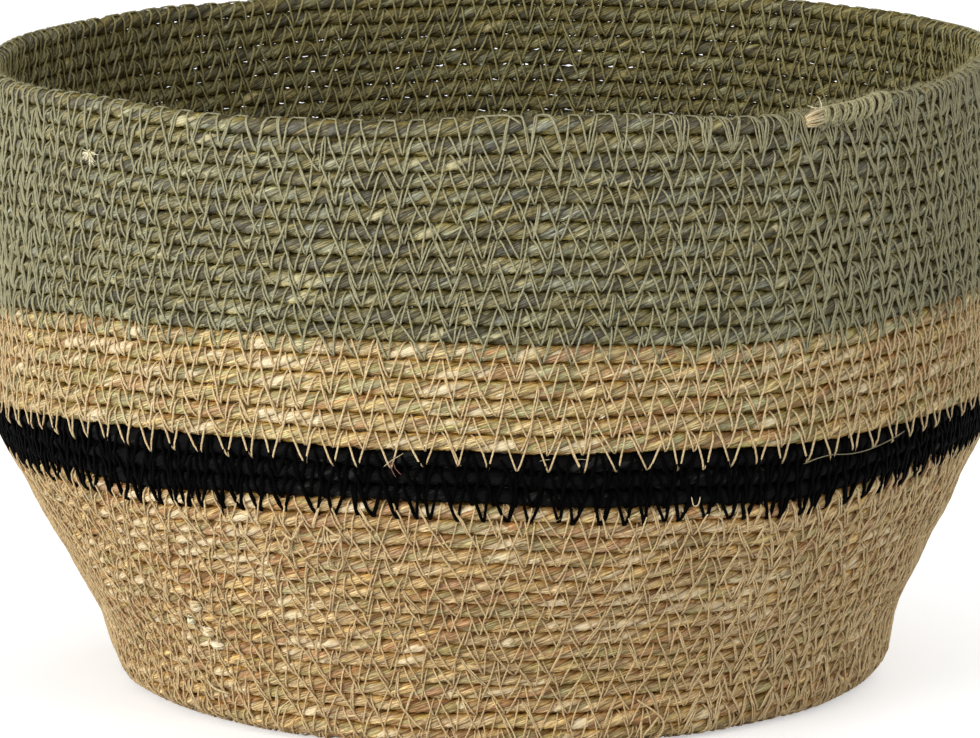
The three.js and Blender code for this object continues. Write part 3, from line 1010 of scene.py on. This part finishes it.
# %% The loose threads
# Each has its radius in mm, its material and its places
strays = [
    ("dark_hair", 0.15, hair, [(7.6, 266.8, 3.5), (8.7, 267.2, 3.7), (10, 266, 3.5)]),
    ("pink_fibre_a", 0.13, pink_fibre,
     [(-10, 220.3, 3.5), (-10.4, 218.6, 3.6), (-10.3, 216.3, 3.6), (-9.9, 214.1, 3.4)]),
    ("pink_fibre_b", 0.12, pink_fibre, [(-10.2, 219, 3.7), (-9.9, 216.7, 3.7), (-9.3, 214.8, 3.5)]),
    ("pale_fibre_a", 0.12, pale_fibre, [(-11.2, 217.2, 3.4), (-10.3, 219.3, 3.8), (-9.1, 221.4, 3.6)]),
    ("pale_fibre_b", 0.08, pale_fibre, [(5.2, 220.1, 3.5), (5.8, 220.6, 3.8), (6.3, 220.7, 3.6)]),
    ("pale_fibre_c", 0.08, pale_fibre, [(9, 220.6, 3.5), (9.7, 220.7, 3.8), (10.3, 220.3, 3.6)]),
    ("pale_curl", 0.2, pale_fibre,
     [(22, 208.9, 3.4), (22.3, 206.6, 3.8), (22.8, 206.9, 3.9), (23, 208.9, 3.5)]),
    ("long_strand", 0.17, grey_fibre,
     [(35.8, 216, 3.3), (37.6, 217.1, 3.9), (39.7, 217.3, 3.7), (42.4, 216.5, 3.9), (45.1, 216.4, 3.7),
      (48.4, 217.6, 3.9), (51.5, 219, 3.4)]),
    ("loose_thread", 0.36, pale_fibre,
     [(-43.4, 133.2, 3.2), (-42.2, 131.8, 4.2), (-41.2, 130.7, 4.4), (-39.2, 129.6, 3.6)]),
    ("loop", 0.36, tan_twine,
     [(-18.4, 198.5, 3.3), (-17.1, 195.6, 3.9), (-16.4, 194.7, 4), (-17.4, 191.1, 4.1),
      (-18.4, 186.1, 3.9), (-18.3, 183.3, 3.8), (-17.3, 182.8, 3.7), (-16.6, 186.3, 3.8),
      (-16.5, 191.5, 4), (-16.5, 194.4, 3.3)]),
    ("knot_arm", 0.4, tan_twine,
     [(-23.4, 195.7, 3.2), (-22.7, 194.4, 4), (-22, 194.1, 4.2), (-21.2, 197.3, 3.9), (-20.5, 199.7, 3.2)]),
    ("knot_eye", 0.4, tan_twine,
     [(-22.8, 194.4, 3.6), (-23.5, 191.8, 4), (-23.5, 189.6, 4), (-22.9, 190, 4), (-22.7, 192.6, 3.8),
      (-23, 194.4, 3.4)]),
    ("stray_branch", 0.32, tan_twine, [(-21.8, 185, 3.3), (-20.6, 187.6, 3.8), (-19.2, 188.4, 3.3)]),
    ("tangle_a", 0.38, tan_twine,
     [(20.3, 132.5, 3.4), (22.1, 129.6, 4), (23.8, 126.3, 4.2), (24.3, 123.5, 4.3), (24, 120.7, 4),
      (22.9, 117.3, 3.8)]),
    ("tangle_b", 0.38, tan_twine,
     [(23.8, 126.3, 3.5), (22.6, 123.8, 4.2), (21.6, 121.6, 4.2), (21.9, 118.6, 3.8)]),
    ("tangle_c", 0.38, tan_twine,
     [(21, 125.1, 3.5), (21.2, 121.4, 4.2), (21.9, 118, 3.9), (23.2, 116.6, 3.6)]),
    ("rim_thread_a", 0.36, green_twine,
     [(-2, 319.2, 1), (-1, 320.2, 0.4), (0.6, 320.4, -0.2), (1.7, 320.4, 0.4), (2.5, 319.4, 2),
      (3.2, 318, 3)]),
    ("rim_thread_b", 0.36, green_twine,
     [(4.6, 319.4, 1.5), (5.2, 320.3, 0.2), (6.2, 320.2, 0.4), (6.9, 318.6, 2.4)]),
    ("black_tail", 0.26, black_twine, [(-30.2, 207.1, 3.4), (-30.2, 204, 3.8), (-30.3, 199.7, 3.5)]),
]
for stray in strays:
    add_stray(*stray)

# %% Frayed knots
def turn_and_height(azimuth, distance):
    """The nearest turn to a place on the wall, in degrees and mm, and the place's height over it."""
    part = (90 - azimuth) / 360
    turn = round(distance * MM / PITCH - part) + part
    return turn, distance - turn * PITCH / MM


# Each knot has its place, its number of blades, their length and the way that they point up, in mm
knots = [
    ("frayed_knot", -47.4, 304.2, 40, 2.9, -0.9, pith),
    ("small_knot", 11.6, 232.5, 7, 1.5, 0.5, cut_rope),
    ("burr", 25.5, 203.5, 6, 1.4, 0.3, cut_rope),
]
for name, azimuth, distance, count, length, upwards, material in knots:
    turn, height = turn_and_height(azimuth, distance)
    fan = random.uniform(-1, 1, count)
    roots = np.stack([random.normal(0, 0.5, count), height + random.normal(0, 0.4, count),
                      random.uniform(3.2, 4, count)], axis=1)
    tips = roots + length * np.stack([1.4 * fan, upwards / 2 + 0.4 * random.normal(size=count),
                                      random.uniform(0, 0.4, count)], axis=1)
    add_tuft(name, turn, roots, tips, (0, 0, 0.3), (0.2, 0.36), (1, 1, 0.9, 0.7, 0.4), material)

# %% Knobs of pith
# Degrees from the front, mm up the wall, half-length, half-height and thickness in mm
KNOB_BLADES = 14
knobs = [(-39.8, 164.2, 2.3, 1.4, 1.6, cut_rope), (-39.8, 152.8, 2.1, 1.5, 1.5, cut_rope),
         (-42.2, 156.6, 1.3, 1.3, 1.3, pith), (-39.1, 147.6, 2.6, 0.9, 1.1, cut_rope)]
for number, (azimuth, distance, half_length, half_height, thickness, material) in enumerate(knobs):
    turn, height = turn_and_height(azimuth, distance)
    low, high = random.uniform(-1, 1, (2, KNOB_BLADES))
    left, right = half_length * random.uniform(0.8, 1.1, (2, KNOB_BLADES))
    middle = np.full(KNOB_BLADES, 2.7)
    roots = np.stack([-left, height + 0.7 * half_height * low, middle], axis=1)
    tips = np.stack([right, height + 0.7 * half_height * (low + 0.4 * high), middle], axis=1)
    rise = np.stack([0 * low, 0.5 * half_height * low, thickness * (1 - 0.6 * low * low)], axis=1)
    shape = (0.5, 0.9, 1, 1, 1, 0.9, 0.5)
    name = f"pith_knob_{number + 1}"
    add_tuft(name, turn, roots, tips, rise[:, None], (0.45, 0.75), shape, material)

# %% Camera
CAMERA_DISTANCE = 1.908
CAMERA_HEIGHT = 0.4334
CAMERA_TILT = 10.06
FOCAL = 223.3
camera_data = bpy.data.cameras.new("camera")
camera = bpy.data.objects.new("camera", camera_data)
bpy.context.scene.collection.objects.link(camera)
camera.location = (0.0, -CAMERA_DISTANCE, CAMERA_HEIGHT)
camera.rotation_euler = (math.radians(90 - CAMERA_TILT), 0, 0)
camera_data.lens = FOCAL
camera_data.sensor_width = 36
camera_data.clip_end = 50
bpy.context.scene.camera = camera

# %% [markdown]
# ## Floor and light
#
# The floor and the world are white where the camera sees them, and in reflections. The light that
# falls on the basket is a plain soft one: an even sky, a broad lamp at the left front, a weaker one
# at the right front and another behind it.

# %% Floor
bpy.ops.mesh.primitive_plane_add(size=8, location=(0, 0, -0.0002))
floor = bpy.context.object
floor.name = "floor"
floor_material = bpy.data.materials.new("white floor")
floor_material.use_nodes = True
n = Nodes(floor_material.node_tree)
shader = n.tree.nodes["Principled BSDF"]
shader.inputs["Base Color"].default_value = (0.75, 0.75, 0.75, 1)
shader.inputs["Roughness"].default_value = 0.9
shader.inputs["Emission Color"].default_value = (1, 1, 1, 1)
path = n.add("LightPath").outputs
seen = n.most(path["Is Camera Ray"], path["Is Glossy Ray"])
n.link(n.times(seen, 0.45), shader.inputs["Emission Strength"])
floor.data.materials.append(floor_material)

# %% World and lamps
SKY_LIGHT = 0.69
world = bpy.data.worlds.new("world")
bpy.context.scene.world = world
world.use_nodes = True
n = Nodes(world.node_tree)
background = n.tree.nodes["Background"]
path = n.add("LightPath").outputs
seen = n.most(path["Is Camera Ray"], path["Is Transmission Ray"])
n.link(n.most(seen, SKY_LIGHT), background.inputs["Strength"])
background.inputs["Color"].default_value = (1, 1, 1, 1)


def soft_lamp(name, place, size, power):
    """A square area lamp at a place, which faces the basket."""
    data = bpy.data.lights.new(name, "AREA")
    data.size = size
    data.energy = power
    lamp = bpy.data.objects.new(name, data)
    bpy.context.scene.collection.objects.link(lamp)
    lamp.location = place
    x, y, z = place
    lamp.rotation_euler = (math.atan2(math.hypot(x, y), z - 0.1), 0, math.atan2(x, -y))


# Each has its place, its size in metres and its power in watts
soft_lamp("key", (-1.45, -1.41, 0.6), 1.3, 36)
soft_lamp("fill", (1.2, -1.6, 1.3), 0.4, 7)
soft_lamp("back", (0.8, 1.9, 0.9), 1.0, 12)
bpy.context.scene.view_settings.view_transform = "Standard"
